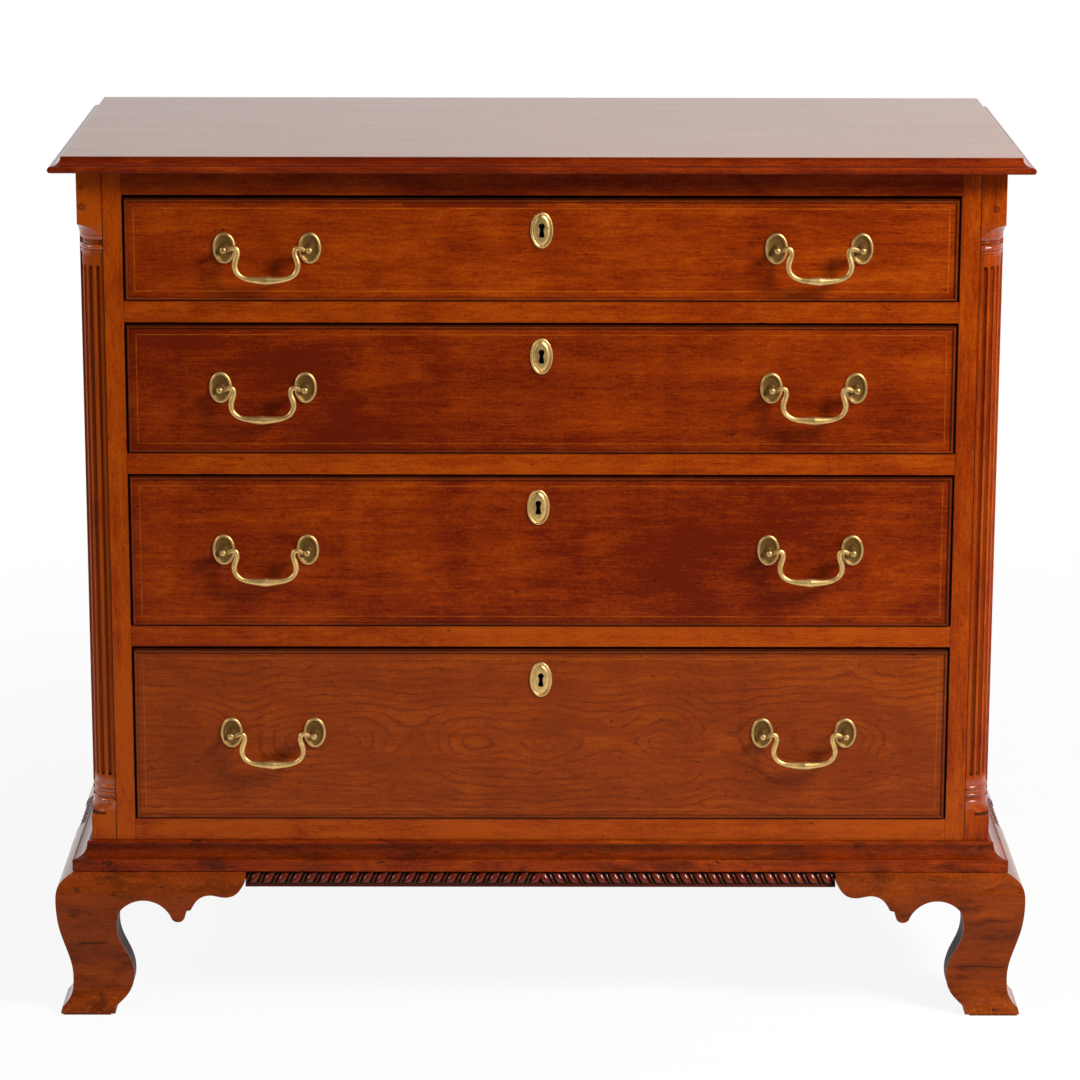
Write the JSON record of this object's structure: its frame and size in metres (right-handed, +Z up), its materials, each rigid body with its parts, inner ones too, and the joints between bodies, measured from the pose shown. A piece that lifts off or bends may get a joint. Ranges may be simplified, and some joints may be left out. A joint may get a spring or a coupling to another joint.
{
  "type": "chest of drawers",
  "caption": "Low case of graduated drawers with a moulded top, fluted corner columns, brass bail pulls and keyhole plates, a carved strip and ogee bracket feet.",
  "frame": {"origin": "middle of the base of the chest's bounding box, on the floor", "axes": "+X across the front to the viewer's right, +Y back towards the wall, +Z up; the drawers open towards -Y"},
  "size_m": [1.0232, 0.4676, 0.916],
  "materials": {
    "finished_wood": "reddish brown stain under a satin varnish",
    "secondary_wood": "bare planed softwood",
    "aged_brass": "aged, lacquered",
    "lock_steel": "dull, plain"
  },
  "bodies": {
    "carcass": {"top_board": "finished_wood", "left_side_panel": "finished_wood", "right_side_panel": "finished_wood", "back_boards": "secondary_wood", "case_bottom": "secondary_wood", "front_stiles": "finished_wood", "left_corner_column": "finished_wood", "right_corner_column": "finished_wood", "top_rail": "finished_wood", "drawer_blades": "finished_wood", "bottom_rail": "finished_wood", "drawer_runners": "secondary_wood", "drawer_guides": "secondary_wood", "top_kickers": "secondary_wood", "base_moulding": "finished_wood", "gadroon_strip": "finished_wood", "front_left_foot": "finished_wood", "front_right_foot": "finished_wood", "rear_feet": "finished_wood", "foot_glue_blocks": "secondary_wood"},
    "drawer_1": {"drawer_1_front": "finished_wood", "drawer_1_sides": "secondary_wood", "drawer_1_back": "secondary_wood", "drawer_1_bottom": "secondary_wood", "drawer_1_pull_mounts": "aged_brass", "drawer_1_escutcheon": "aged_brass", "drawer_1_lock": "lock_steel"},
    "drawer_1_left_bail": {"drawer_1_left_bail": "aged_brass"},
    "drawer_1_right_bail": {"drawer_1_right_bail": "aged_brass"},
    "drawer_1_lock_bolt": {"drawer_1_lock_bolt": "lock_steel"},
    "drawer_2": {"drawer_2_front": "finished_wood", "drawer_2_sides": "secondary_wood", "drawer_2_back": "secondary_wood", "drawer_2_bottom": "secondary_wood", "drawer_2_pull_mounts": "aged_brass", "drawer_2_escutcheon": "aged_brass", "drawer_2_lock": "lock_steel"},
    "drawer_2_left_bail": {"drawer_2_left_bail": "aged_brass"},
    "drawer_2_right_bail": {"drawer_2_right_bail": "aged_brass"},
    "drawer_2_lock_bolt": {"drawer_2_lock_bolt": "lock_steel"},
    "drawer_3": {"drawer_3_front": "finished_wood", "drawer_3_sides": "secondary_wood", "drawer_3_back": "secondary_wood", "drawer_3_bottom": "secondary_wood", "drawer_3_pull_mounts": "aged_brass", "drawer_3_escutcheon": "aged_brass", "drawer_3_lock": "lock_steel"},
    "drawer_3_left_bail": {"drawer_3_left_bail": "aged_brass"},
    "drawer_3_right_bail": {"drawer_3_right_bail": "aged_brass"},
    "drawer_3_lock_bolt": {"drawer_3_lock_bolt": "lock_steel"},
    "drawer_4": {"drawer_4_front": "finished_wood", "drawer_4_sides": "secondary_wood", "drawer_4_back": "secondary_wood", "drawer_4_bottom": "secondary_wood", "drawer_4_pull_mounts": "aged_brass", "drawer_4_escutcheon": "aged_brass", "drawer_4_lock": "lock_steel"},
    "drawer_4_left_bail": {"drawer_4_left_bail": "aged_brass"},
    "drawer_4_right_bail": {"drawer_4_right_bail": "aged_brass"},
    "drawer_4_lock_bolt": {"drawer_4_lock_bolt": "lock_steel"}
  },
  "joints": [
    {"name": "drawer_1_slide", "type": "slide", "parent": "carcass", "child": "drawer_1", "axis": [0, -1, 0], "range_m": [0, 0.3]},
    {"name": "drawer_1_left_bail_hinge", "type": "hinge", "parent": "drawer_1", "child": "drawer_1_left_bail", "pos_m": [-0.281, -0.2127, 0.8201], "axis": [-1, 0, 0], "range_deg": [-18, 180]},
    {"name": "drawer_1_right_bail_hinge", "type": "hinge", "parent": "drawer_1", "child": "drawer_1_right_bail", "pos_m": [0.284, -0.2127, 0.8201], "axis": [-1, 0, 0], "range_deg": [-18, 180]},
    {"name": "drawer_1_lock_bolt_slide", "type": "slide", "parent": "drawer_1", "child": "drawer_1_lock_bolt", "axis": [0, 0, 1], "range_m": [0, 0.008]},
    {"name": "drawer_2_slide", "type": "slide", "parent": "carcass", "child": "drawer_2", "axis": [0, -1, 0], "range_m": [0, 0.3]},
    {"name": "drawer_2_left_bail_hinge", "type": "hinge", "parent": "drawer_2", "child": "drawer_2_left_bail", "pos_m": [-0.287, -0.2127, 0.67445], "axis": [-1, 0, 0], "range_deg": [-18, 180]},
    {"name": "drawer_2_right_bail_hinge", "type": "hinge", "parent": "drawer_2", "child": "drawer_2_right_bail", "pos_m": [0.281, -0.2127, 0.67445], "axis": [-1, 0, 0], "range_deg": [-18, 180]},
    {"name": "drawer_2_lock_bolt_slide", "type": "slide", "parent": "drawer_2", "child": "drawer_2_lock_bolt", "axis": [0, 0, 1], "range_m": [0, 0.008]},
    {"name": "drawer_3_slide", "type": "slide", "parent": "carcass", "child": "drawer_3", "axis": [0, -1, 0], "range_m": [0, 0.3]},
    {"name": "drawer_3_left_bail_hinge", "type": "hinge", "parent": "drawer_3", "child": "drawer_3_left_bail", "pos_m": [-0.2865, -0.2127, 0.5021], "axis": [-1, 0, 0], "range_deg": [-18, 180]},
    {"name": "drawer_3_right_bail_hinge", "type": "hinge", "parent": "drawer_3", "child": "drawer_3_right_bail", "pos_m": [0.2805, -0.2127, 0.5021], "axis": [-1, 0, 0], "range_deg": [-18, 180]},
    {"name": "drawer_3_lock_bolt_slide", "type": "slide", "parent": "drawer_3", "child": "drawer_3_lock_bolt", "axis": [0, 0, 1], "range_m": [0, 0.008]},
    {"name": "drawer_4_slide", "type": "slide", "parent": "carcass", "child": "drawer_4", "axis": [0, -1, 0], "range_m": [0, 0.3]},
    {"name": "drawer_4_left_bail_hinge", "type": "hinge", "parent": "drawer_4", "child": "drawer_4_left_bail", "pos_m": [-0.2815, -0.2127, 0.3036], "axis": [-1, 0, 0], "range_deg": [-18, 180]},
    {"name": "drawer_4_right_bail_hinge", "type": "hinge", "parent": "drawer_4", "child": "drawer_4_right_bail", "pos_m": [0.277, -0.2127, 0.3036], "axis": [-1, 0, 0], "range_deg": [-18, 180]},
    {"name": "drawer_4_lock_bolt_slide", "type": "slide", "parent": "drawer_4", "child": "drawer_4_lock_bolt", "axis": [0, 0, 1], "range_m": [0, 0.008]}
  ]
}
